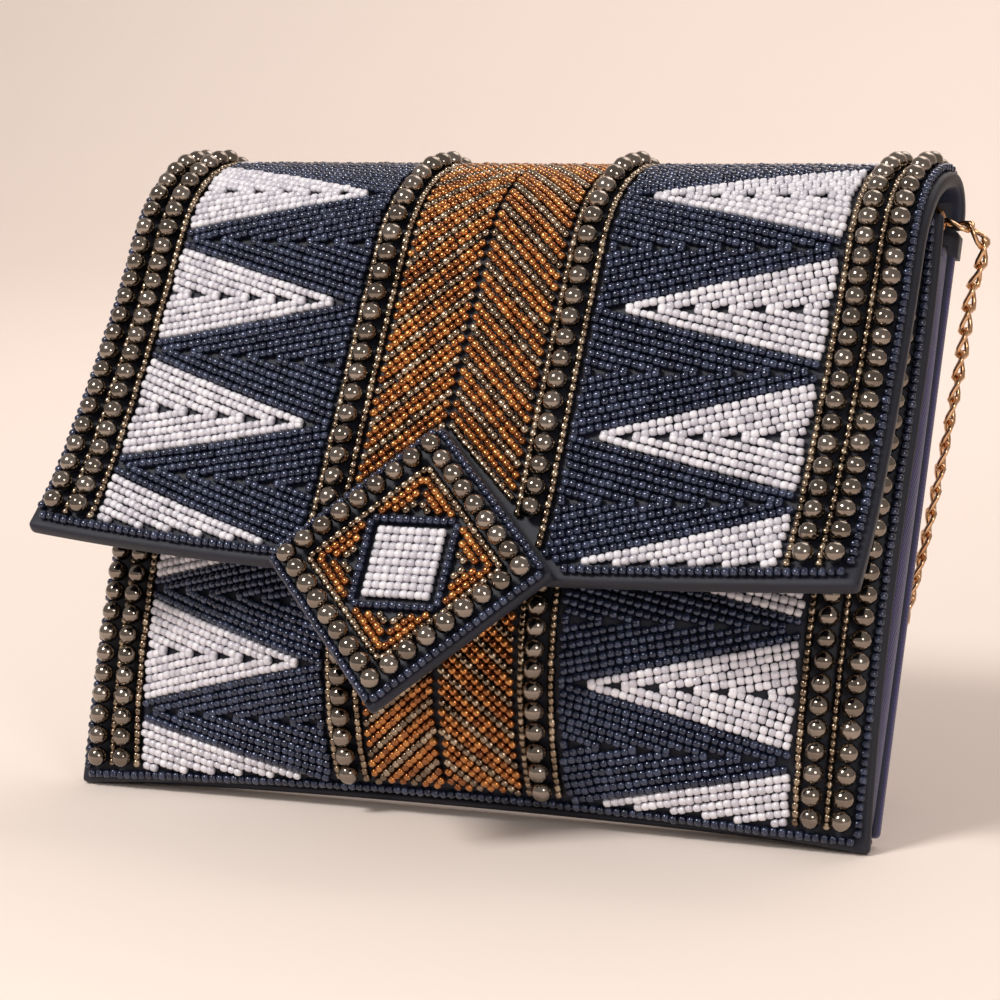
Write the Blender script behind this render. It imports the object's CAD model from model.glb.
# Beaded envelope clutch: fabric, bead embroidery, medallion, chain and studio
import math

import bmesh
import bpy
import numpy as np
from mathutils import Matrix, Vector


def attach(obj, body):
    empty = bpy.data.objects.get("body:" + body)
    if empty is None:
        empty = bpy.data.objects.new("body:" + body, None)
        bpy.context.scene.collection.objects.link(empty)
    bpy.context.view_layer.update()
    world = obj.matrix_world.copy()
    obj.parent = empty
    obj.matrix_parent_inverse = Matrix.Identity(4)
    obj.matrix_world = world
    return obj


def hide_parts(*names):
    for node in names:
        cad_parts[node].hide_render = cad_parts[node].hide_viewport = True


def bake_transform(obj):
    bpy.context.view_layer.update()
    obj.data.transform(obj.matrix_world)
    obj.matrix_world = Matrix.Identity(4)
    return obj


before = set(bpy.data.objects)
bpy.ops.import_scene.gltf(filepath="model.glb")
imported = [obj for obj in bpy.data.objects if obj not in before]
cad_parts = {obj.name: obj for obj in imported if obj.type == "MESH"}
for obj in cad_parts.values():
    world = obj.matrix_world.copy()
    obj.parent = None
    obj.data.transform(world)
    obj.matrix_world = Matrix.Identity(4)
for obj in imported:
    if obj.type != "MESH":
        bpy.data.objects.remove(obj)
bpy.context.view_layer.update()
mm = 0.001
chance = np.random.default_rng(11)

# Camera, in millimetres and degrees
cameraView = {
    "place": (345, -729.6, 216.6),
    "pitch": 9.57,
    "yaw": 24.48,
    "roll": -1.52,
    "lens": 117.7,
}
camera = bpy.data.objects.new("camera", bpy.data.cameras.new("camera"))
camera.location = Vector(cameraView["place"]) * mm
camera.rotation_euler = (
    Matrix.Rotation(math.radians(cameraView["yaw"]), 3, "Z")
    @ Matrix.Rotation(math.radians(90 - cameraView["pitch"]), 3, "X")
    @ Matrix.Rotation(math.radians(cameraView["roll"]), 3, "Z")
).to_euler()
camera.data.lens = cameraView["lens"]
camera.data.sensor_width = 36
camera.data.clip_start = 0.01
bpy.context.scene.collection.objects.link(camera)
bpy.context.scene.camera = camera


class Link:
    # one output of a node, with the arithmetic that the finishes use
    def __init__(self, finish, socket):
        self.finish = finish
        self.socket = socket

    def combine(self, operation, first, second=0.0):
        return self.finish.node("ShaderNodeMath", {"operation": operation}, {0: first, 1: second})

    def __add__(self, other):
        return self.combine("ADD", self, other)

    __radd__ = __add__

    def __sub__(self, other):
        return self.combine("SUBTRACT", self, other)

    def __rsub__(self, other):
        return self.combine("SUBTRACT", other, self)

    def __mul__(self, other):
        return self.combine("MULTIPLY", self, other)

    __rmul__ = __mul__

    def sine(self):
        return self.combine("SINE", self)


class Finish:
    def __init__(self, name):
        self.material = bpy.data.materials.new(name)
        self.material.use_nodes = True
        self.tree = self.material.node_tree
        self.shader = self.tree.nodes["Principled BSDF"]

    def node(self, kind, settings=None, sockets=None, output=0):
        made = self.tree.nodes.new(kind)
        for name, value in (settings or {}).items():
            if name == "stops":
                ramp = made.color_ramp
                while len(ramp.elements) < len(value):
                    ramp.elements.new(0.5)
                for element, (place, colour) in zip(ramp.elements, value):
                    element.position = place
                    element.color = (*colour, 1)
            else:
                setattr(made, name, value)
        for name, value in (sockets or {}).items():
            self.feed(made.inputs[name], value)
        return Link(self, made.outputs[output])

    def feed(self, socket, value):
        if isinstance(value, Link):
            self.tree.links.new(value.socket, socket)
        elif isinstance(value, tuple) and len(value) == 3 and socket.type == "RGBA":
            socket.default_value = (*value, 1)
        else:
            socket.default_value = value

    def set(self, **values):
        for name, value in values.items():
            words = "".join(" " + c if c.isupper() else c for c in name).title().replace("Ior", "IOR")
            self.feed(self.shader.inputs[words], value)
        return self.material

    def objectPlace(self):
        return self.node("ShaderNodeTexCoord", output="Object")

    def noise(self, scale, detail=2.0, place=None):
        sockets = {"Vector": place or self.objectPlace(), "Scale": scale, "Detail": detail}
        return self.node("ShaderNodeTexNoise", None, sockets, "Fac")

    def attribute(self, name):
        return self.node("ShaderNodeAttribute", {"attribute_name": name}, output="Fac")

    def ramp(self, factor, stops):
        return self.node("ShaderNodeValToRGB", {"stops": stops}, {"Fac": factor}, "Color")

    def bump(self, height, distance, strength=1.0):
        sockets = {"Height": height, "Distance": distance, "Strength": strength}
        return self.node("ShaderNodeBump", None, sockets, "Normal")


def beadFinish(name, stops, **values):
    # each bead has a tint of its own, and a little clouding across it
    finish = Finish(name)
    tint = finish.attribute("tint")
    cloud = finish.noise(900.0)
    colour = finish.ramp(tint * 0.8 + cloud * 0.2, stops)
    rough = values.pop("rough")
    bump = finish.bump(finish.noise(1600.0, 1.0), 0.00006, 0.5)
    return finish.set(
        baseColor=colour,
        roughness=rough + tint * 0.12 + cloud * 0.05,
        normal=bump,
        **values,
    )


def clothFinish(name, dark, light, thread, depth, **values):
    # over-and-under weave on the cloth's own map, whose unit is a metre
    finish = Finish(name)
    uv = finish.node("ShaderNodeTexCoord", output="UV")
    across = finish.node("ShaderNodeSeparateXYZ", None, {"Vector": uv}, "X")
    along = finish.node("ShaderNodeSeparateXYZ", None, {"Vector": uv}, "Y")
    turn = 2 * math.pi / thread
    warp = (across * turn).sine()
    weft = (along * turn).sine()
    weave = warp * weft
    slub = finish.noise(220.0, 4.0)
    crease = finish.noise(35.0, 3.0)
    colour = finish.ramp(weave * 0.22 + slub * 0.5 + crease * 0.4 - 0.1, [(0.2, dark), (0.8, light)])
    height = weave * 0.5 + slub * 0.5
    folds = finish.bump(crease, 0.0012, 0.5)
    bump = finish.node(
        "ShaderNodeBump",
        None,
        {"Height": height, "Distance": depth, "Strength": 0.8, "Normal": folds},
        "Normal",
    )
    rough = values.pop("rough")
    return finish.set(baseColor=colour, roughness=rough + slub * 0.15, normal=bump, **values)


def metalFinish(name, dark, light, rough):
    finish = Finish(name)
    cloud = finish.noise(260.0, 4.0)
    scratches = finish.noise(2200.0, 2.0)
    colour = finish.ramp(cloud, [(0.3, dark), (0.7, light)])
    return finish.set(
        baseColor=colour,
        roughness=rough + scratches * 0.12,
        metallic=1.0,
        normal=finish.bump(scratches, 0.00004, 0.35),
    )


finishes = {
    "navySeed": beadFinish(
        "navySeed",
        [(0.0, (0.008, 0.012, 0.034)), (0.5, (0.018, 0.026, 0.062)), (1.0, (0.048, 0.062, 0.12))],
        rough=0.1,
        metallic=0.4,
        coatWeight=0.6,
        coatRoughness=0.06,
    ),
    "pearlSeed": beadFinish(
        "pearlSeed",
        [(0.0, (0.5, 0.48, 0.54)), (0.5, (0.7, 0.68, 0.74)), (1.0, (0.86, 0.84, 0.88))],
        rough=0.16,
        metallic=0.0,
        coatWeight=0.7,
        coatRoughness=0.08,
    ),
    "copperSeed": beadFinish(
        "copperSeed",
        [(0.0, (0.17, 0.05, 0.012)), (0.5, (0.42, 0.15, 0.035)), (1.0, (0.64, 0.28, 0.08))],
        rough=0.14,
        metallic=0.9,
        coatWeight=0.5,
        coatRoughness=0.05,
    ),
    "bronzeSeed": beadFinish(
        "bronzeSeed",
        [(0.0, (0.12, 0.085, 0.055)), (0.5, (0.27, 0.2, 0.14)), (1.0, (0.5, 0.4, 0.29))],
        rough=0.14,
        metallic=1.0,
        coatWeight=0.3,
        coatRoughness=0.05,
    ),
    "gunmetalBead": beadFinish(
        "gunmetalBead",
        [(0.0, (0.17, 0.14, 0.115)), (0.5, (0.25, 0.21, 0.175)), (1.0, (0.34, 0.29, 0.25))],
        rough=0.05,
        metallic=1.0,
        coatWeight=0.2,
        coatRoughness=0.03,
    ),
    "navySatin": clothFinish(
        "navySatin", (0.002, 0.003, 0.01), (0.008, 0.011, 0.032), 0.0005, 0.00006,
        rough=0.46, sheenWeight=0.06, sheenRoughness=0.4,
    ),
    "purpleWeave": clothFinish(
        "purpleWeave", (0.018, 0.014, 0.075), (0.05, 0.04, 0.2), 0.0011, 0.00022,
        rough=0.62, sheenWeight=0.35, sheenRoughness=0.5,
    ),
    "liningCloth": clothFinish(
        "liningCloth", (0.008, 0.01, 0.028), (0.026, 0.032, 0.075), 0.0006, 0.00008,
        rough=0.45, sheenWeight=0.3, sheenRoughness=0.4,
    ),
    "roseGold": metalFinish("roseGold", (0.62, 0.34, 0.17), (0.85, 0.55, 0.32), 0.14),
    "nickel": metalFinish("nickel", (0.42, 0.4, 0.37), (0.62, 0.6, 0.56), 0.22),
}
print("finishes ready")


# The shape of the three panels, in millimetres, as the frame has them
panelSizes = {
    "bodyWidth": 219,
    "bottomDepth": 10,
    "frontHeight": 160,
    "backHeight": 156,
    "backLean": 26,
    "frontLean": [18, 21, 26, 30, 25, 14],
    "frontBulge": 25,
    "backBulge": 7,
    "flapWidth": 226,
    "foldLength": 22,
    "shoulderLength": 42,
    "hangLength": 87,
    "crownLean": 95,
    "hangLean": 32.5,
    "hemLean": 42,
    "flapBulge": 3,
    "flapSideFall": 11,  # how far the flap's two sides fall back from its middle
    "bottomArch": 4.5,  # the stuffed front lifts its bottom edge in the middle
    "hemSag": 3,  # and the hem's corners stand higher than its middle
    "hemCurl": 3.5,  # the left corner a little more
    "flapShift": 1.5,  # the flap hangs a little to the left
    "flapTaper": 0.02,  # the flap narrows towards its seam
    "frontStart": 2.55,
    "backStart": 1.5,
    "bodyDepth": 3.4,
    "flapDepth": 4.0,
}
size = panelSizes
bodyHalf = size["bodyWidth"] / 2
flapHalf = size["flapWidth"] / 2
flapLength = size["foldLength"] + size["shoulderLength"] + size["hangLength"]


def walkProfile(start, stations, direction):
    # side profile in the Y-Z plane, walked by lean angle; straight on past both ends
    step = 0.25
    past = 20.0
    places, leans = zip(*stations)
    s = np.arange(-past, places[-1] + past, step)
    lean = np.radians(np.interp(s + step / 2, places, leans))
    y = np.concatenate([[0], np.cumsum(np.sin(lean) * step)[:-1]])
    z = np.concatenate([[0], np.cumsum(np.cos(lean) * step)[:-1]])
    y = start[0] + direction * (y - np.interp(0, s, y))
    z = start[1] + direction * (z - np.interp(0, s, z))
    return lambda at: (np.interp(at, s, y), np.interp(at, s, z))


def dome(x, half):
    return 1 - np.clip(x / half, -1, 1) ** 2


frontStations = [(size["frontHeight"] * i / 5, lean) for i, lean in enumerate(size["frontLean"])]
frontProfile = walkProfile((-size["bottomDepth"] / 2, size["frontStart"]), frontStations, 1)
backProfile = walkProfile(
    (size["bottomDepth"] / 2, size["backStart"]),
    [(0, size["backLean"]), (size["backHeight"], size["backLean"])],
    1,
)
seam = [float(v) for v in backProfile(size["backHeight"] + 0.3)]
flapProfile = walkProfile(
    seam,
    [
        (0, 180 + size["backLean"]),
        (size["foldLength"], size["crownLean"]),
        (size["foldLength"] + size["shoulderLength"], size["hangLean"]),
        (flapLength - 27, size["hangLean"] - 3),
        (flapLength, size["hemLean"]),
    ],
    -1,
)


def frontPoint(x, s):
    y, z = frontProfile(s)
    rise = np.sin(np.pi * np.clip(s / (size["frontHeight"] * 1.1), 0, 1) ** 0.8)
    arch = size["bottomArch"] * dome(x, bodyHalf) * (1 - np.clip(s / size["frontHeight"], 0, 1))
    return np.stack([x, y - size["frontBulge"] * dome(x, bodyHalf) * rise, z + arch], -1)


def backPoint(x, s):
    y, z = backProfile(s)
    rise = np.sin(np.pi * np.clip(s / size["backHeight"], 0, 1))
    return np.stack([x, y + size["backBulge"] * dome(x, bodyHalf) * rise, z], -1)


def flapPoint(x, s):
    y, z = flapProfile(s)
    start = size["foldLength"] + size["shoulderLength"]
    hang = np.clip((s - start) / size["hangLength"], 0, 1)
    middle = dome(x, flapHalf)
    width = x * (1 - size["flapTaper"] * (1 - np.clip(s / flapLength, 0, 1)))
    width = width - size["flapShift"] * np.clip(s / 40, 0, 1)
    curl = np.where(x < 0, size["hemCurl"], 0) * (1 - middle)
    sag = (size["hemSag"] * (0.5 - middle) + curl) * hang
    fall = size["flapSideFall"] * (1 - middle) * np.sin(np.pi * np.clip(s / flapLength, 0, 1))
    return np.stack([width, y - size["flapBulge"] * middle * hang + fall, z + sag], -1)


panels = {
    "front": {"point": frontPoint, "outward": 1},
    "back": {"point": backPoint, "outward": -1},
    "flap": {"point": flapPoint, "outward": -1},
}


def unit(v):
    return v / np.linalg.norm(v, axis=-1, keepdims=True)


def panelFrame(panel, x, s):
    # the place on the cloth, the ways across and along it, and the way out of it
    x, s = np.broadcast_arrays(np.asarray(x, float), np.asarray(s, float))
    point = panel["point"]
    reach = 0.5
    across = unit(point(x + reach, s) - point(x - reach, s))
    along = unit(point(x, s + reach) - point(x, s - reach))
    out = unit(np.cross(across, along)) * panel["outward"]
    return point(x, s), across, along, out


def finishObject(name, bm, materials, body, smooth=True):
    mesh = bpy.data.meshes.new(name)
    bm.to_mesh(mesh)
    bm.free()
    piece = bpy.data.objects.new(name, mesh)
    bpy.context.scene.collection.objects.link(piece)
    for material in materials:
        mesh.materials.append(finishes[material])
    for face in mesh.polygons:
        face.use_smooth = smooth
    if body:
        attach(piece, body)
    return piece


def panelGrid(panel, xs, ss, height, divisions):
    # a sheet on a panel, from one x to another and one s to another, with its own map in metres
    bm = bmesh.new()
    across, along = divisions
    bmesh.ops.create_grid(bm, x_segments=across, y_segments=along, size=0.5)
    bm.verts.ensure_lookup_table()
    flat = np.array([v.co for v in bm.verts])
    x = xs[0] + (flat[:, 0] + 0.5) * (xs[1] - xs[0])
    s = ss[0] + (flat[:, 1] + 0.5) * (ss[1] - ss[0])
    base, _, _, out = panelFrame(panel, x, s)
    level = height(x, s) if callable(height) else height
    places = (base + out * np.reshape(level, (-1, 1))) * mm
    uvLayer = bm.loops.layers.uv.new("map")
    for v, place in zip(bm.verts, places):
        v.co = place
    for face in bm.faces:
        for loop in face.loops:
            loop[uvLayer].uv = (x[loop.vert.index] * mm, s[loop.vert.index] * mm)
    if panel["outward"] < 0:
        bmesh.ops.reverse_faces(bm, faces=bm.faces)
    return bm


def shellPiece(name, bm, thickness, rim, materials, body):
    # gives a sheet its thickness inwards and a soft rolled edge
    piece = finishObject(name, bm, materials, body)
    solid = piece.modifiers.new("thickness", "SOLIDIFY")
    solid.thickness = thickness * mm
    solid.offset = -1
    solid.use_even_offset = False
    solid.material_offset = len(materials) - 1
    solid.material_offset_rim = 0
    bevel = piece.modifiers.new("rolled edge", "BEVEL")
    bevel.width = rim * mm
    bevel.segments = 4
    bevel.limit_method = "ANGLE"
    bevel.angle_limit = math.radians(50)
    bevel.harden_normals = False
    return piece


beadSizes = {
    "seedAcross": 2.15,  # diameter of a seed bead
    "seedAlong": 1.92,  # its length along the thread
    "seedPitch": 2.04,
    "rowPitch": 2.17,
    "crossPitch": 2.15,  # pitch of the border beads, which lie across their row
    "round": 5.35,
    "roundCell": 5.3,  # width of the strip that a row of round beads takes
    "roundPitch": 5.55,
    "bronzeRow": 2.4,
    "borderRow": 2.2,
    "rim": 1.6,
    "seedLift": 1.1,  # middle of a seed bead above the cloth
    "roundLift": 2.75,
    "squeeze": 0.05,  # a thread this much too short still takes one more bead
}
# how far hand-sewn beads stray, in millimetres, and as shares of a turn and of their size
strays = {
    "lift": 0.05,
    "place": 0.06,
    "seedTip": 0.07,
    "roundTip": 0.03,
    "seedSize": 0.035,
    "roundSize": 0.012,
}
beads = beadSizes


def seedTemplate():
    # a short barrel along X, narrower at its two ends
    bm = bmesh.new()
    bmesh.ops.create_cone(bm, cap_ends=True, segments=8, radius1=0.36, radius2=0.36, depth=1.0)
    sides = [e for e in bm.edges if abs(e.verts[0].co.z - e.verts[1].co.z) > 0.5]
    bmesh.ops.subdivide_edges(bm, edges=sides, cuts=2)
    for v in bm.verts:
        if abs(v.co.z) < 0.3:
            v.co.x *= 0.5 / 0.36
            v.co.y *= 0.5 / 0.36
            v.co.z *= 1.55
    bmesh.ops.rotate(bm, verts=bm.verts, matrix=Matrix.Rotation(math.radians(90), 3, "Y"))
    return bm


def roundTemplate():
    bm = bmesh.new()
    bmesh.ops.create_uvsphere(bm, u_segments=14, v_segments=8, radius=0.5)
    bmesh.ops.rotate(bm, verts=bm.verts, matrix=Matrix.Rotation(math.radians(90), 3, "Y"))
    return bm


def meshArrays(bm):
    mesh = bpy.data.meshes.new("bead")
    bm.to_mesh(mesh)
    bm.free()
    verts = np.empty(len(mesh.vertices) * 3)
    mesh.vertices.foreach_get("co", verts)
    loops = np.empty(len(mesh.loops), int)
    mesh.loops.foreach_get("vertex_index", loops)
    starts = np.empty(len(mesh.polygons), int)
    mesh.polygons.foreach_get("loop_start", starts)
    bpy.data.meshes.remove(mesh)
    return verts.reshape(-1, 3), loops, starts


templates = {"seed": meshArrays(seedTemplate()), "round": meshArrays(roundTemplate())}


def scatter(name, template, places, axes, sizes, material, body):
    # one copy of the bead at each place, turned to its thread, with a tint of its own
    verts, loops, starts = templates[template]
    count = len(places)
    scaled = verts[None] * sizes[:, None, :]
    turned = np.einsum("nij,nvi->nvj", axes, scaled) + places[:, None, :]
    mesh = bpy.data.meshes.new(name)
    mesh.vertices.add(count * len(verts))
    mesh.vertices.foreach_set("co", (turned * mm).ravel())
    mesh.loops.add(count * len(loops))
    offsets = np.arange(count)[:, None]
    mesh.loops.foreach_set("vertex_index", (loops[None] + offsets * len(verts)).ravel())
    mesh.polygons.add(count * len(starts))
    mesh.polygons.foreach_set("loop_start", (starts[None] + offsets * len(loops)).ravel())
    mesh.update(calc_edges=True)
    mesh.polygons.foreach_set("use_smooth", np.ones(len(mesh.polygons), bool))
    tint = mesh.attributes.new("tint", "FLOAT", "POINT")
    tint.data.foreach_set("value", np.repeat(chance.random(count), len(verts)).astype(np.float32))
    mesh.materials.append(finishes[material])
    piece = bpy.data.objects.new(name, mesh)
    bpy.context.scene.collection.objects.link(piece)
    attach(piece, body)
    return piece


def beadRow(start, end, pitch):
    # bead middles along a straight thread from start to end, in the panel's own x and s
    start, end = np.array(start, float), np.array(end, float)
    length = np.linalg.norm(end - start)
    count = int((length + beads["squeeze"]) / pitch)
    if count < 1:
        return np.zeros((0, 4))
    way = (end - start) / length
    spare = (length - (count - 1) * pitch) / 2
    along = spare + np.arange(count) * pitch
    places = start + along[:, None] * way
    return np.concatenate([places, np.repeat(way[None], count, 0)], 1)


def loosen(axes, amount):
    # tips every bead a little off its thread
    tips = chance.normal(0, amount, (len(axes), 3))
    turned = axes + np.cross(tips[:, None, :], axes)
    return unit(turned)


def sewBeads(panelName, rows, kind, name, material, keep=None):
    # beads on a panel, from rows of [x, s, way x, way s]
    rows = np.concatenate([r for r in rows if len(r)])
    panel = panels[panelName]
    base, across, along, out = panelFrame(panel, rows[:, 0], rows[:, 1])
    isRound = kind == "round"
    lift = beads["roundLift"] if isRound else beads["seedLift"]
    count = len(rows)
    lifts = lift + chance.normal(0, strays["lift"], count)
    places = base + out * lifts[:, None] + chance.normal(0, strays["place"], (count, 3))
    thread = unit(across * rows[:, 2:3] + along * rows[:, 3:4])
    side = np.cross(out, thread)
    tip = strays["roundTip" if isRound else "seedTip"]
    axes = loosen(np.stack([thread, side, out], 1), tip)
    if isRound:
        sizes = np.full((count, 3), beads["round"])
    else:
        sizes = np.array([[beads["seedAlong"], beads["seedAcross"], beads["seedAcross"]]])
        sizes = np.repeat(sizes, count, 0)
    spread = strays["roundSize" if isRound else "seedSize"]
    sizes = sizes * (1 + chance.normal(0, spread, (count, 1)))
    if keep is not None:
        kept = keep(places)
        places, axes, sizes = places[kept], axes[kept], sizes[kept]
    return scatter(name, kind, places, axes, sizes, material, panelName)


def zoneEdges(fieldHalf, half):
    ribInner = fieldHalf + 0.3
    ribOuter = ribInner + 2 * beads["bronzeRow"] + beads["roundCell"]
    edgeOuter = half - beads["rim"]
    edgeInner = edgeOuter - beads["borderRow"] - 2 * beads["roundCell"] - 2 * beads["bronzeRow"]
    return ribInner, ribOuter, edgeInner


# the white and navy triangles, in millimetres
triangleSizes = {
    "period": 33.6,
    "baseHalf": 33.6 * 11 / 26,  # half of a white triangle's base
    "tip": 0.95,  # where its point comes, as a share of the zone's width
    "margin": 0.5,
    "shortest": 1.5,  # a thread shorter than this is left out
}


def triangleRows(inner, outer, low, high, hem, away, sign):
    # slanted threads that meet along the middles of the white and of the navy triangles
    period, baseHalf = triangleSizes["period"], triangleSizes["baseHalf"]
    margin = triangleSizes["margin"]
    width = outer - inner
    slope = baseHalf / (triangleSizes["tip"] * width)
    lean = math.hypot(1, slope)
    rows = {"white": [], "navy": []}
    rise = beads["rowPitch"] * lean
    for cell in range(-1, int((high - low) / period) + 2):
        middle = hem + away * cell * period
        for flip in (-1, 1):
            reach = period / 2
            first = -int(baseHalf / rise)
            last = math.ceil((reach + slope * width - baseHalf) / rise)
            for k in range(first, last):
                v0 = baseHalf + (k + 0.5) * rise
                steps = np.linspace(max(0.0, (v0 - reach) / slope), min(width, v0 / slope), 60)
                vs = middle + flip * (v0 - slope * steps)
                inside = (vs > low + margin) & (vs < high - margin)
                if inside.sum() < 2:
                    continue
                a, b = steps[inside][0], steps[inside][-1]
                if b - a < triangleSizes["shortest"]:
                    continue
                ends = [
                    (sign * (outer - u), middle + flip * (v0 - slope * u)) for u in (a, b)
                ]
                colour = "white" if v0 < baseHalf else "navy"
                rows[colour].append(beadRow(*ends, beads["seedPitch"]))
    return rows


chevronSizes = {"lean": 42, "firstTip": 1.2, "middleGap": 0.25}


def chevronRows(fieldHalf, low, high, hemAtHigh):
    # threads in arrowheads that point up the bag: one bronze, then two copper
    lean = math.radians(chevronSizes["lean"])
    slope = math.tan(lean)
    rise = beads["rowPitch"] / math.cos(lean)
    rows = {"bronze": [], "copper": []}
    upward = -1 if hemAtHigh else 1
    reach = slope * fieldHalf
    total = high - low
    for k in range(int((total + reach) / rise) + 1):
        tip = k * rise + chevronSizes["firstTip"]
        for sign in (-1, 1):
            u = np.linspace(chevronSizes["middleGap"], fieldHalf, 80)
            v = tip - slope * u
            inside = (v > triangleSizes["margin"]) & (v < total - triangleSizes["margin"])
            if inside.sum() < 2:
                continue
            a, b = u[inside][0], u[inside][-1]
            if b - a < triangleSizes["shortest"]:
                continue
            start = high if hemAtHigh else low
            ends = [(sign * w, start + upward * (tip - slope * w)) for w in (a, b)]
            colour = "bronze" if k % 3 == 0 else "copper"
            rows[colour].append(beadRow(*ends, beads["seedPitch"]))
    return rows


def columnRow(x, low, high, pitch):
    return beadRow((x, low), (x, high), pitch)


def crossRow(x, low, high, pitch):
    # beads one above the other, each lying across the column
    row = columnRow(x, low, high, pitch)
    row[:, 2:] = (1, 0)
    return row


# beads lie from low to high along each panel, and the hem is at one of the two
embroidery = {
    "flap": {
        "fieldHalf": 22.3,
        "half": flapHalf,
        "low": 8.0,
        "high": flapLength - 3.9,
        "hemAtHigh": True,
    },
    "front": {
        "fieldHalf": 21.3,
        "half": bodyHalf,
        "low": 1.5,
        "high": 158.5,
        "hemAtHigh": False,
    },
}

medallionSizes = {
    "side": 55,
    "depth": 3.1,
    "lift": 1.6,
    "lean": 36,
    "beadsPerSide": 8,
    "clear": 2.2,  # beads of the flap keep this far off
    "squareHalf": 9.6,
    "squareGap": 3.4,  # from the pearl square to the copper threads
    "roundPitch": 5.6,
    "border": 1.35,  # from the square's edge to its outermost thread
    "ringToThread": 3.85,  # from the round beads' middle to the first thread
}
medal = medallionSizes
hemPlace, _, _, hemOut = panelFrame(panels["flap"], 0.0, flapLength)
medalMiddle = hemPlace + hemOut * medal["lift"]
medalLean = math.radians(medal["lean"])
medalAxes = np.array(
    [
        [1, 0, 0],
        [0, math.sin(medalLean), math.cos(medalLean)],
        [0, -math.cos(medalLean), math.sin(medalLean)],
    ]
)


def clearOfMedallion(places):
    local = (places - medalMiddle) @ medalAxes.T
    reach = medal["side"] / math.sqrt(2) + medal["clear"]
    return np.abs(local[:, 0]) + np.abs(local[:, 1]) > reach


# the socket's place on the front, and the radius of its hole in the beads
snapSizes = {"along": 84, "clear": 10.2}
snapPlace = panelFrame(panels["front"], 0.0, snapSizes["along"])[0]


def clearOfSocket(places):
    return np.linalg.norm(places - snapPlace, axis=1) > snapSizes["clear"]


def embroider(panelName):
    plan = embroidery[panelName]
    low, high = plan["low"], plan["high"]
    keep = clearOfMedallion if panelName == "flap" else clearOfSocket
    ribInner, ribOuter, edgeInner = zoneEdges(plan["fieldHalf"], plan["half"])
    hem = high if plan["hemAtHigh"] else low
    away = -1 if plan["hemAtHigh"] else 1
    row, ball = beads["bronzeRow"], beads["roundCell"]
    navy, white, bronze, copper = [], [], [], []
    rounds = {"rib_left": [], "rib_right": [], "edge_beads_left": [], "edge_beads_right": []}
    for side, sign in (("left", -1), ("right", 1)):
        triangles = triangleRows(ribOuter + 0.3, edgeInner - 0.3, low, high, hem, away, sign)
        white += triangles["white"]
        navy += triangles["navy"]
        ribLines = (ribInner + row / 2, ribOuter - row / 2)
        edgeLines = (edgeInner + row / 2, edgeInner + row * 1.5 + ball)
        for x in ribLines + edgeLines:
            bronze.append(columnRow(sign * x, low, high, beads["seedPitch"]))
        rounds["rib_" + side].append(
            columnRow(sign * (ribInner + row + ball / 2), low, high, beads["roundPitch"])
        )
        for x in (edgeInner + row + ball / 2, edgeInner + 2 * row + ball * 1.5):
            rounds["edge_beads_" + side].append(columnRow(sign * x, low, high, beads["roundPitch"]))
        border = edgeInner + 2 * row + 2 * ball + beads["borderRow"] / 2
        navy.append(crossRow(sign * border, low, high, beads["crossPitch"]))
    edge = plan["half"] - beads["rim"] - 1
    hemRow = hem - away * (beads["borderRow"] / 2)
    across = beadRow((-edge, hemRow), (edge, hemRow), beads["crossPitch"])
    across[:, 2:] = (0, 1)
    navy.append(across)
    chevrons = chevronRows(plan["fieldHalf"], low, high, plan["hemAtHigh"])
    copper += chevrons["copper"]
    bronze += chevrons["bronze"]
    name = panelName
    made = [
        sewBeads(name, navy, "seed", name + "_navy_beads", "navySeed", keep),
        sewBeads(name, white, "seed", name + "_pearl_beads", "pearlSeed", keep),
        sewBeads(name, copper, "seed", name + "_copper_beads", "copperSeed", keep),
        sewBeads(name, bronze, "seed", name + "_bronze_beads", "bronzeSeed", keep),
    ]
    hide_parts(name + "_triangles_left", name + "_triangles_right")
    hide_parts(name + "_chevrons")
    if name == "front":
        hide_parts("front_hem_row")
    else:
        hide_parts("flap_hem_row_left", "flap_hem_row_right")
    for zone, rows in rounds.items():
        piece = sewBeads(
            name, rows, "round", name + "_" + zone + "_round", "gunmetalBead", keep
        )
        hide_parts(name + "_" + zone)
    print(name, "embroidery:", sum(len(r) for r in navy + white + copper + bronze), "seed beads")


embroider("flap")
embroider("front")


def medallionPlace(a, b, height):
    # a and b run along the square's sides
    x = (a - b) / math.sqrt(2)
    y = (a + b) / math.sqrt(2)
    local = np.stack([x, y, np.broadcast_to(height, np.shape(x))], -1)
    return medalMiddle + local @ medalAxes


def medallionBeads(rows, kind, name, material):
    rows = np.concatenate(rows)
    height = medal["depth"] + 0.3 + (beads["roundLift"] if kind == "round" else beads["seedLift"])
    places = medallionPlace(rows[:, 0], rows[:, 1], height)
    count = len(places)
    places = places + chance.normal(0, 0.06, (count, 3))
    thread = unit(medallionPlace(rows[:, 0] + rows[:, 2], rows[:, 1] + rows[:, 3], height)
                  - medallionPlace(rows[:, 0], rows[:, 1], height))
    out = np.repeat(medalAxes[2:3], count, 0)
    axes = loosen(np.stack([thread, np.cross(out, thread), out], 1), 0.05)
    isRound = kind == "round"
    seed = [beads["seedAlong"], beads["seedAcross"], beads["seedAcross"]]
    one = [beads["round"]] * 3 if isRound else seed
    sizes = np.repeat([one], count, 0) * (1 + chance.normal(0, 0.02, (count, 1)))
    return scatter(name, kind, places, axes, sizes, material, "flap")


def quarterTurns(row, count):
    for _ in range(count):
        row = np.stack([row[:, 1], -row[:, 0], row[:, 3], -row[:, 2]], 1)
    return row


def squareRows(half, pitch):
    # the four sides of a square of threads round the middle
    side = beadRow((-half, half), (half, half), pitch)
    return [quarterTurns(side, turn) for turn in range(4)]


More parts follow.
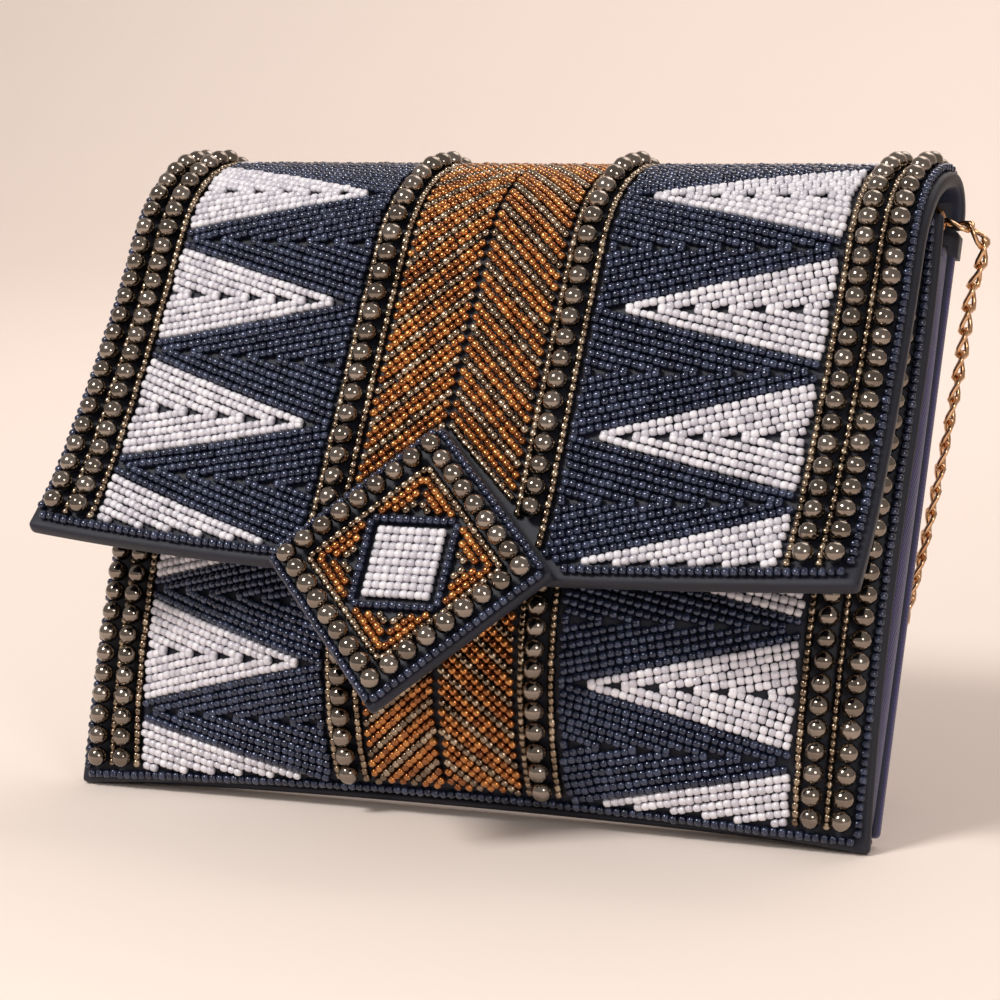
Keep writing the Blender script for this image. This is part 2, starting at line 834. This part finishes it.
def levelReach(row):
    # how far out each bead of a row is, measured square to the ground
    a, b = row[:, 0], row[:, 1]
    return np.maximum(np.abs(a - b), np.abs(a + b)) / math.sqrt(2)


def buildMedallion():
    half = medal["side"] / 2
    bm = bmesh.new()
    bmesh.ops.create_grid(bm, x_segments=16, y_segments=16, size=half)
    bm.verts.ensure_lookup_table()
    uvLayer = bm.loops.layers.uv.new("map")
    for face in bm.faces:
        for loop in face.loops:
            loop[uvLayer].uv = loop.vert.co.xy * mm
    flat = np.array([v.co for v in bm.verts])
    crown = 0.25 * dome(flat[:, 0], half) * dome(flat[:, 1], half)
    for v, place in zip(bm.verts, medallionPlace(flat[:, 0], flat[:, 1], medal["depth"] + crown)):
        v.co = place * mm
    cover = shellPiece("medallion_cloth", bm, medal["depth"], 1.1, ["navySatin"], "flap")
    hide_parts("medallion_cover", "medallion_board")
    pitch = medal["roundPitch"]
    ring = medal["beadsPerSide"] * pitch / 2
    side = np.array([[-ring + pitch * k, ring, 1, 0] for k in range(medal["beadsPerSide"])])
    rounds = [quarterTurns(side, turn) for turn in range(4)]
    frameBeads = medallionBeads(rounds, "round", "medallion_round_beads", "gunmetalBead")
    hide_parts("medallion_bead_frame")
    navy = squareRows(half - medal["border"], beads["seedPitch"])
    bronze, copper = [], []
    step = beads["rowPitch"]
    square = medal["squareHalf"]
    for k in range(6):
        rows = squareRows(ring - medal["ringToThread"] - k * step, beads["seedPitch"])
        rows = [row[levelReach(row) > square + medal["squareGap"]] for row in rows]
        (bronze if k in (0, 3) else copper).extend(rows)
    root = 1 / math.sqrt(2)

    def upright(row):
        # turns threads laid square to the ground into the medallion's own directions
        x, y, dx, dy = row.T
        return np.stack([(x + y) * root, (y - x) * root, (dx + dy) * root, (dy - dx) * root], 1)

    navy += [upright(r) for r in squareRows(square + 2.1, beads["seedPitch"])]
    white = []
    for k in range(9):
        y = -square + 1.1 + k * (2 * square - 2.2) / 8
        white.append(upright(beadRow((-square, y), (square, y), beads["seedPitch"])))
    field = medallionBeads(copper, "seed", "medallion_copper_beads", "copperSeed")
    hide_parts("medallion_field")
    medallionBeads(bronze, "seed", "medallion_bronze_beads", "bronzeSeed")
    medallionBeads(navy, "seed", "medallion_navy_beads", "navySeed")
    medallionBeads(white, "seed", "medallion_pearl_beads", "pearlSeed")
    print("medallion ready")


buildMedallion()


def buildPanels():
    flap = shellPiece(
        "flap_cloth",
        panelGrid(panels["flap"], (-flapHalf, flapHalf), (0.4, flapLength), 0, (60, 60)),
        size["flapDepth"], 1.5, ["navySatin", "liningCloth"], "flap",
    )
    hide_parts("flap_cover", "flap_board", "flap_lining", "stud_washer")
    front = shellPiece(
        "front_cloth",
        panelGrid(panels["front"], (-bodyHalf, bodyHalf), (-2.0, size["frontHeight"]), 0, (60, 50)),
        size["bodyDepth"], 1.3, ["navySatin", "liningCloth"], "front",
    )
    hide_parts("front_cover", "front_board", "front_lining", "socket_washer")
    back = shellPiece(
        "back_cloth",
        panelGrid(panels["back"], (-bodyHalf, bodyHalf), (0, size["backHeight"]), 0, (60, 50)),
        size["bodyDepth"], 1.3, ["purpleWeave", "liningCloth"], "bag",
    )
    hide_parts("back_cover", "back_board", "back_lining")
    print("panels ready")


buildPanels()

sideSizes = {
    "foot": 3,
    "top": 152,
    "bulge": 1.2,
    "inset": 3.7,  # depth of a panel with its lining
    "thickness": 0.8,
    "place": 107.2,
    "bend": 4.5,
}


def buildSideWall(side, sign):
    # a soft wall between the two linings that bows outwards
    bm = bmesh.new()
    bmesh.ops.create_grid(bm, x_segments=10, y_segments=44, size=0.5)
    bm.verts.ensure_lookup_table()
    flat = np.array([v.co for v in bm.verts])
    u = flat[:, 0] + 0.5
    v = flat[:, 1] + 0.5
    s = sideSizes["foot"] + v * (sideSizes["top"] - sideSizes["foot"])
    edge = np.full(len(s), bodyHalf)
    inset = sideSizes["inset"]
    frontBase, _, _, frontOut = panelFrame(panels["front"], edge, s)
    backBase, _, _, backOut = panelFrame(panels["back"], edge, s)
    near = frontBase - frontOut * inset
    far = backBase - backOut * inset
    places = near + (far - near) * u[:, None]
    bow = sideSizes["bulge"] * np.sin(np.pi * u) * np.sin(np.pi * np.clip(v, 0, 1)) ** 0.5
    places[:, 0] = sign * (sideSizes["place"] + sideSizes["thickness"] + bow)
    uvLayer = bm.loops.layers.uv.new("map")
    for vert, place in zip(bm.verts, places):
        vert.co = place * mm
    for face in bm.faces:
        for loop in face.loops:
            index = loop.vert.index
            loop[uvLayer].uv = (u[index] * 12 * mm, s[index] * mm)
    if sign < 0:
        bmesh.ops.reverse_faces(bm, faces=bm.faces)
    bmesh.ops.solidify(bm, geom=bm.faces, thickness=sideSizes["thickness"] * mm)
    bmesh.ops.recalc_face_normals(bm, faces=bm.faces)
    piece = finishObject("side_wall_" + side, bm, ["purpleWeave"], None)
    middle = len(s) // 2
    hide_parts("gusset_" + side)
    # square to the straight back, so that every height of the wall bends alike
    start = Vector((far[middle] * mm).tolist())
    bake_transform(piece)


for side, sign in (("left", -1), ("right", 1)):
    buildSideWall(side, sign)

seamSizes = {"below": 7, "above": 9, "proud": 0.35, "depth": 4.6}


def buildSeam():
    # the folded band where the flap is sewn to the back, bending with the flap
    bm = bmesh.new()
    bmesh.ops.create_grid(bm, x_segments=40, y_segments=16, size=0.5)
    bm.verts.ensure_lookup_table()
    flat = np.array([v.co for v in bm.verts])
    x = flat[:, 0] * (2 * bodyHalf + 1.5)
    s = -seamSizes["below"] + (flat[:, 1] + 0.5) * (seamSizes["below"] + seamSizes["above"])
    top = size["backHeight"] + 0.3
    backBase, _, _, backOut = panelFrame(panels["back"], x, top + np.minimum(s, 0))
    flapBase, _, _, flapOut = panelFrame(panels["flap"], x, np.maximum(s, 0.01))
    onBack = (s < 0)[:, None]
    base = np.where(onBack, backBase, flapBase)
    out = np.where(onBack, backOut, flapOut)
    uvLayer = bm.loops.layers.uv.new("map")
    for v, place in zip(bm.verts, (base + out * seamSizes["proud"]) * mm):
        v.co = place
    for face in bm.faces:
        for loop in face.loops:
            loop[uvLayer].uv = (x[loop.vert.index] * mm, s[loop.vert.index] * mm)
    bmesh.ops.reverse_faces(bm, faces=bm.faces)
    bmesh.ops.solidify(bm, geom=bm.faces, thickness=seamSizes["depth"] * mm)
    bmesh.ops.recalc_face_normals(bm, faces=bm.faces)
    piece = finishObject("seam_band", bm, ["navySatin"], None)
    a = backPoint(np.array(0.0), np.array(top - seamSizes["below"]))
    b = flapPoint(np.array(0.0), np.array(float(seamSizes["above"])))
    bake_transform(piece)


buildSeam()

baseSizes = {"width": 215, "front": -1.8, "back": 5, "height": 2.2, "roll": 1.0, "arch": 2.0}


def buildBase():
    bm = bmesh.new()
    extent = (baseSizes["width"], baseSizes["back"] - baseSizes["front"], baseSizes["height"])
    bmesh.ops.create_cube(bm, size=1.0)
    bmesh.ops.scale(bm, verts=bm.verts, vec=Vector(extent) * mm)
    middle = (baseSizes["front"] + baseSizes["back"]) / 2
    bmesh.ops.translate(bm, verts=bm.verts, vec=Vector((0, middle, baseSizes["height"] / 2)) * mm)
    lengthways = [e for e in bm.edges if abs(e.verts[0].co.x - e.verts[1].co.x) > 0.1]
    bmesh.ops.subdivide_edges(bm, edges=lengthways, cuts=40)
    sharp = [e for e in bm.edges if e.is_manifold and e.calc_face_angle() > 1]
    bmesh.ops.bevel(
        bm, geom=sharp, offset=baseSizes["roll"] * mm, segments=3, profile=0.5,
        affect="EDGES", material=-1,
    )
    for v in bm.verts:
        v.co.z += baseSizes["arch"] * mm * float(dome(v.co.x / mm, baseSizes["width"] / 2))
    uvLayer = bm.loops.layers.uv.new("map")
    for face in bm.faces:
        for loop in face.loops:
            loop[uvLayer].uv = (loop.vert.co.x, loop.vert.co.y + loop.vert.co.z)
    piece = finishObject("bottom_cloth", bm, ["navySatin"], "bag")
    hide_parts("bottom_strip")


buildBase()

pocketSizes = {
    "width": 130,
    "bottom": 45,
    "top": 112,
    "gap": 0.3,
    "thickness": 0.6,
    "sag": 1.6,  # how far the mouth hangs open
    "slackFrom": 95,
    "slack": 17,
}


def buildPocket():
    def depth(x, s):
        rise = np.clip((s - pocketSizes["slackFrom"]) / pocketSizes["slack"], 0, 1) ** 2
        openness = rise * dome(x, pocketSizes["width"] / 2)
        return -size["bodyDepth"] - pocketSizes["gap"] - pocketSizes["sag"] * openness

    half = pocketSizes["width"] / 2
    bm = panelGrid(
        panels["back"], (-half, half), (pocketSizes["bottom"], pocketSizes["top"]), depth, (30, 20)
    )
    piece = shellPiece("pocket_cloth", bm, pocketSizes["thickness"], 0.2, ["liningCloth"], "bag")
    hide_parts("slip_pocket")


buildPocket()
print("fabric ready")


# The chain, in millimetres; a route's points are (out from the middle, back, height)
chainSizes = {
    "width": 6.0,
    "wire": 1.4,
    "linkLength": 8.5,
    "linkWidth": 5.9,
    "pitch": 5.9,
    "hankLength": 118,
    "hankBack": 66,
    "hankTurn": 24,
    "lowRun": 3.3,
}
hangRoute = [
    (108.3, 66.5, 145.65),
    (111.5, 66.5, 145.6),
    (116.8, 67.5, 142.5),
    (116.8, 68.5, 136.5),
    (113.5, 70, 128),
    (110.5, 69, 108),
    (107, 68, 89),
    (103.5, 67, 71),
    (100, 66, 55),
    (96, 64, 40),
    (91, 61, 27),
]
floorRoute = [(86, 58, 16), (79, 55, 8), (70, 54, 3.4)]
upperRoute = [(84, 57, 20), (75, 54.6, 16.4), (68, 54, 15.4)]


def hankPoints():
    # two and a half turns, wound up from the floor
    chain = chainSizes
    radius = chain["hankTurn"] / 2
    straight = chain["hankLength"] / 2 - radius - chain["width"] / 2
    points = []
    layers = 5
    for run in range(layers):
        side = -1 if run % 2 == 0 else 1  # the nearer run goes to the left
        height = chain["lowRun"] + chain["width"] * run / 2
        for k in range(6):
            x = straight * (1 - 2 * k / 5)
            if side > 0:
                x = -x
            points.append((x, chain["hankBack"] + side * radius, height))
        if run == layers - 1:
            break
        end = -straight if side < 0 else straight
        for k in range(1, 6):
            turn = math.pi * k / 6
            x = end + (-1 if side < 0 else 1) * radius * math.sin(turn)
            y = chain["hankBack"] + side * radius * math.cos(turn)
            points.append((x, y, height + chain["width"] / 2 * k / 6))
    return points


def smoothRoute(points, step):
    # a smooth curve through the points, then even steps along it
    p = np.array(points, float)
    padded = np.concatenate([[2 * p[0] - p[1]], p, [2 * p[-1] - p[-2]]])
    fine = []
    for i in range(1, len(padded) - 2):
        a, b, c, d = padded[i - 1:i + 3]
        t = np.linspace(0, 1, 16, endpoint=False)[:, None]
        square = 2 * a - 5 * b + 4 * c - d
        cube = 3 * b - a - 3 * c + d
        fine.append(0.5 * (2 * b + (c - a) * t + square * t ** 2 + cube * t ** 3))
    fine = np.concatenate(fine + [p[-1:]])
    lengths = np.concatenate([[0], np.cumsum(np.linalg.norm(np.diff(fine, axis=0), axis=1))])
    count = round(lengths[-1] / step)
    at = np.linspace(0, lengths[-1], count + 1)
    return np.stack([np.interp(at, lengths, fine[:, k]) for k in range(3)], 1), lengths[-1]


def linkTemplate():
    # a ring of wire, drawn out to an oval and twisted from end to end
    chain = chainSizes
    bm = bmesh.new()
    made = bmesh.ops.create_circle(bm, segments=6, radius=chain["wire"] / 2)
    bmesh.ops.rotate(bm, verts=bm.verts, matrix=Matrix.Rotation(math.radians(90), 3, "X"))
    middle = (chain["linkWidth"] - chain["wire"]) / 2
    bmesh.ops.translate(bm, verts=made["verts"], vec=(middle, 0, 0))
    bmesh.ops.spin(
        bm, geom=bm.edges[:], cent=(0, 0, 0), axis=(0, 0, 1), dvec=(0, 0, 0),
        angle=math.radians(360), steps=14, use_merge=True,
    )
    bmesh.ops.remove_doubles(bm, verts=bm.verts, dist=0.01)
    stretch = (chain["linkLength"] - chain["linkWidth"]) / 2
    for v in bm.verts:
        v.co.x += stretch * max(-1, min(1, v.co.x / (middle * 0.55)))
        turn = math.radians(40) * v.co.x / (chain["linkLength"] / 2)
        y, z = v.co.y, v.co.z
        v.co.y = y * math.cos(turn) - z * math.sin(turn)
        v.co.z = y * math.sin(turn) + z * math.cos(turn)
    bmesh.ops.recalc_face_normals(bm, faces=bm.faces)
    return bm


tieSizes = {"across": 16.2, "up": 9.1, "middle": 9.35, "width": 6, "thickness": 0.5, "square": 0.55}


def buildTie():
    # a band of cloth round the wound chain
    tie = tieSizes
    bm = bmesh.new()
    bmesh.ops.create_circle(bm, segments=40, radius=1)
    for v in bm.verts:
        c, d = v.co.x, v.co.y
        y = tie["across"] * math.copysign(abs(c) ** tie["square"], c)
        z = tie["up"] * math.copysign(abs(d) ** tie["square"], d)
        v.co = Vector((-tie["width"] / 2, chainSizes["hankBack"] + y, tie["middle"] + z)) * mm
    edges = bm.edges[:]
    for _ in range(3):
        grown = bmesh.ops.extrude_edge_only(bm, edges=edges)["geom"]
        edges = [e for e in grown if isinstance(e, bmesh.types.BMEdge)]
        moved = [v for v in grown if isinstance(v, bmesh.types.BMVert)]
        bmesh.ops.translate(bm, verts=moved, vec=(tie["width"] / 3 * mm, 0, 0))
    bmesh.ops.recalc_face_normals(bm, faces=bm.faces)
    uvLayer = bm.loops.layers.uv.new("map")
    for face in bm.faces:
        for loop in face.loops:
            loop[uvLayer].uv = (loop.vert.co.x, loop.vert.co.y + loop.vert.co.z)
    bmesh.ops.solidify(bm, geom=bm.faces, thickness=tie["thickness"] * mm)
    piece = finishObject("chain_tie", bm, ["navySatin"], "bag")
    return piece


def buildChain():
    right = [Vector(p) for p in hangRoute + floorRoute]
    left = [Vector((-p[0], p[1], p[2])) for p in hangRoute + upperRoute]
    route = [tuple(p) for p in right] + hankPoints() + [tuple(p) for p in reversed(left)]
    line, length = smoothRoute(route, chainSizes["pitch"])
    middles = (line[1:] + line[:-1]) / 2
    thread = unit(line[1:] - line[:-1])
    side = np.array([0.0, 1.0, 0.0])
    axes = []
    for k, way in enumerate(thread):
        side = side - way * np.dot(side, way)
        side = side / np.linalg.norm(side)
        roll = math.radians(12) * math.sin(k * 0.35)
        up = np.cross(way, side)
        turned = side * math.cos(roll) + up * math.sin(roll)
        axes.append([way, turned, np.cross(way, turned)])
    templates["link"] = meshArrays(linkTemplate())
    count = len(middles)
    piece = scatter(
        "chain_strap", "link", middles, np.array(axes), np.ones((count, 3)),
        "roseGold", "bag",
    )
    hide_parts("chain_right", "chain_left", "chain_hank")
    path, _ = smoothRoute(route, 3.0)
    buildTie()
    print("chain:", count, "links,", round(length), "mm")


buildChain()

carriedOver = {
    "ring_left": "roseGold",
    "ring_right": "roseGold",
    "ring_tab_left": "purpleWeave",
    "ring_tab_right": "purpleWeave",
    "snap_stud": "nickel",
    "snap_socket": "nickel",
}
for node, finish in carriedOver.items():
    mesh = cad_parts[node].data
    mesh.materials.clear()
    mesh.materials.append(finishes[finish])

studio = {
    "paper": (0.9, 0.79, 0.72),
    "world": (1.0, 0.93, 0.88),
    "worldStrength": 0.37,
    "paperLength": 7,
    "paperWidth": 9,
    "floorLength": 4.2,
    "bendLength": 1.4,
    "nearEdge": 2.9,
}


def buildStudio():
    # a floor that sweeps up into a backdrop
    bm = bmesh.new()
    bmesh.ops.create_grid(bm, x_segments=1, y_segments=40, size=0.5)
    bm.verts.ensure_lookup_table()
    floor, bend = studio["floorLength"], studio["bendLength"]
    radius = bend / (math.pi / 2)
    for v in bm.verts:
        along = (v.co.y + 0.5) * studio["paperLength"]
        turn = max(0.0, min(along - floor, bend)) / radius
        y = min(along, floor) + radius * math.sin(turn)
        z = radius * (1 - math.cos(turn)) + max(0.0, along - floor - bend)
        v.co = (v.co.x * studio["paperWidth"], y - studio["nearEdge"], z)
    backdrop = finishObject("backdrop", bm, [], None)
    finish = Finish("paperSweep")
    tone = finish.noise(1.2, 2.0)
    paper = studio["paper"]
    colour = finish.ramp(tone, [(0.3, tuple(c * 0.97 for c in paper)), (0.7, paper)])
    material = finish.set(baseColor=colour, roughness=0.85)
    backdrop.data.materials.append(material)
    world = bpy.data.worlds.new("studio")
    world.use_nodes = True
    shade = world.node_tree.nodes["Background"]
    shade.inputs["Color"].default_value = (*studio["world"], 1)
    shade.inputs["Strength"].default_value = studio["worldStrength"]
    bpy.context.scene.world = world
    lamps = {
        "keyLamp": {
            "place": (-0.55, -0.75, 1.15), "width": 0.36, "power": 14, "colour": (1.0, 0.97, 0.94),
        },
        "fillLamp": {
            "place": (0.95, -0.9, 0.6), "width": 0.35, "power": 4.2, "colour": (1.0, 0.94, 0.9),
        },
        "rimLamp": {
            "place": (0.2, 0.9, 1.2), "width": 0.8, "power": 5, "colour": (1.0, 0.96, 0.93),
        },
        "backdropLamp": {
            "place": (0.0, 1.0, 1.9), "width": 1.6, "power": 23, "colour": (1.0, 0.95, 0.92),
            "aim": (-1.8, 3.2, 0.8),
        },
    }
    for name, lamp in lamps.items():
        data = bpy.data.lights.new(name, "AREA")
        data.size = lamp["width"]
        data.energy = lamp["power"]
        data.color = lamp["colour"]
        light = bpy.data.objects.new(name, data)
        light.location = lamp["place"]
        aim = Vector(lamp.get("aim", (0, 0.02, 0.08))) - light.location
        light.rotation_euler = aim.to_track_quat("-Z", "Y").to_euler()
        bpy.context.scene.collection.objects.link(light)


buildStudio()
bpy.context.scene.view_settings.view_transform = "Standard"
print("studio ready")
